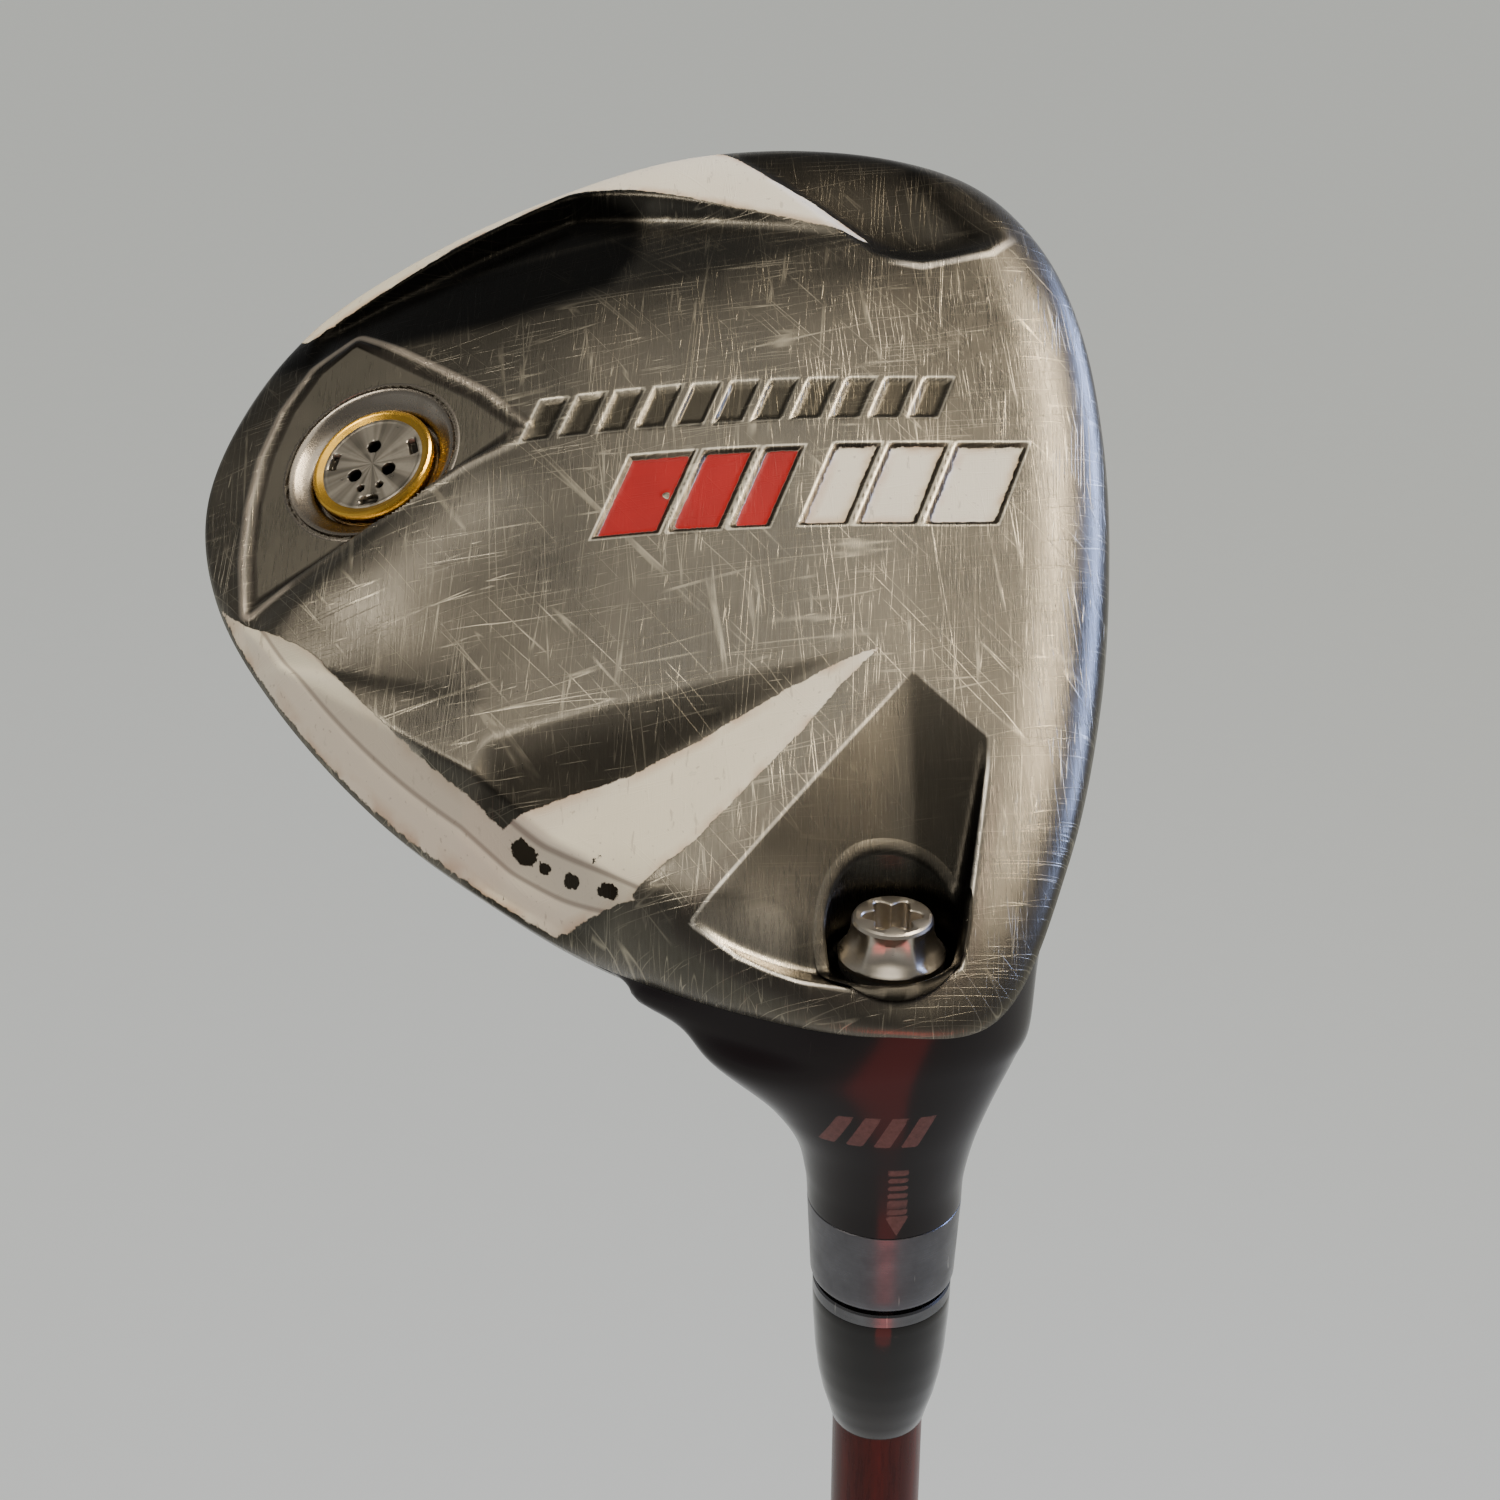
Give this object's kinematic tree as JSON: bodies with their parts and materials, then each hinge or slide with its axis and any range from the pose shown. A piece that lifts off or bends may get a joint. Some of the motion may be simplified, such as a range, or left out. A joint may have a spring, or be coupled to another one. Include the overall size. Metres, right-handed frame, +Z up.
{
  "type": "fairway wood",
  "caption": "Adjustable golf fairway wood: hollow steel head bolted to a keyed shaft sleeve, with a screw-in sole weight and a rubber grip.",
  "frame": {"origin": "centre of the vent hole in the outer face of the grip cap, on the shaft's axis", "axes": "+Z up the shaft from the grip to the head, +X the target direction out of the face, +Y the toe side"},
  "size_m": [0.0885, 0.0978, 1.1332],
  "materials": {
    "cast_steel": "satin brushed and scratched on the sole, black gloss paint on the neck, cream paint panels",
    "crown_paint": "gloss black",
    "face_steel": "fine brushed, with score lines",
    "ring_aluminium": "fine turned",
    "port_steel": "turned",
    "pad_resin": "sticky hot-melt resin",
    "retainer_nylon": "plain nylon",
    "washer_steel": "plain",
    "bolt_steel": "bright, worn edges",
    "gasket_rubber": "matt",
    "weight_aluminium": "turned face with spanner holes",
    "ring_gold": "polished gold colour",
    "core_tungsten": "sintered",
    "sleeve_aluminium": "dark anodised",
    "epoxy": "cured epoxy",
    "ferrule_plastic": "gloss black",
    "shaft_graphite": "dark red-brown lacquer over graphite",
    "plug_cork": "cork",
    "tape": "double-sided tape",
    "grip_rubber": "matt textured",
    "cap_rubber": "matt"
  },
  "bodies": {
    "shaft": {"grip": "grip_rubber", "grip_cap": "cap_rubber", "grip_tape": "tape", "shaft_tube": "shaft_graphite", "tip_plug": "plug_cork", "ferrule": "ferrule_plastic", "adapter_sleeve": "sleeve_aluminium", "sleeve_adhesive": "epoxy"},
    "head": {"head_body": "cast_steel", "crown": "crown_paint", "face_plate": "face_steel", "hosel_ring": "ring_aluminium", "weight_port": "port_steel", "rattle_pad": "pad_resin", "bolt_retainer": "retainer_nylon"},
    "bolt_carrier": {"bolt_washer": "washer_steel"},
    "bolt": {"hosel_bolt": "bolt_steel"},
    "weight_carrier": {"weight_washer": "gasket_rubber"},
    "weight": {"weight_plug": "weight_aluminium", "weight_ring": "ring_gold", "weight_core": "core_tungsten"}
  },
  "joints": [
    {"name": "head_slide", "type": "slide", "parent": "shaft", "child": "head", "axis": [0, 0, 1], "range_m": [0, 0.045]},
    {"name": "bolt_travel", "type": "slide", "parent": "head", "child": "bolt_carrier", "axis": [0, 0, 1], "range_m": [0, 0.0064]},
    {"name": "bolt_turn", "type": "hinge", "parent": "bolt_carrier", "child": "bolt", "pos_m": [0, 0, 1.087], "axis": [0, 0, 1], "range_deg": [0, 2880]},
    {"name": "weight_travel", "type": "slide", "parent": "head", "child": "weight_carrier", "axis": [-0.309, -0.504, 0.8065], "range_m": [0, 0.007]},
    {"name": "weight_turn", "type": "hinge", "parent": "weight_carrier", "child": "weight", "pos_m": [-0.0498, 0.04779, 1.1109], "axis": [-0.309, -0.504, 0.8065], "range_deg": [0, 2520]}
  ],
  "couplings": [
    {"joint": "bolt_turn", "follows": "bolt_travel", "rad_per_m": 7854},
    {"joint": "weight_turn", "follows": "weight_travel", "rad_per_m": 6283.2}
  ]
}
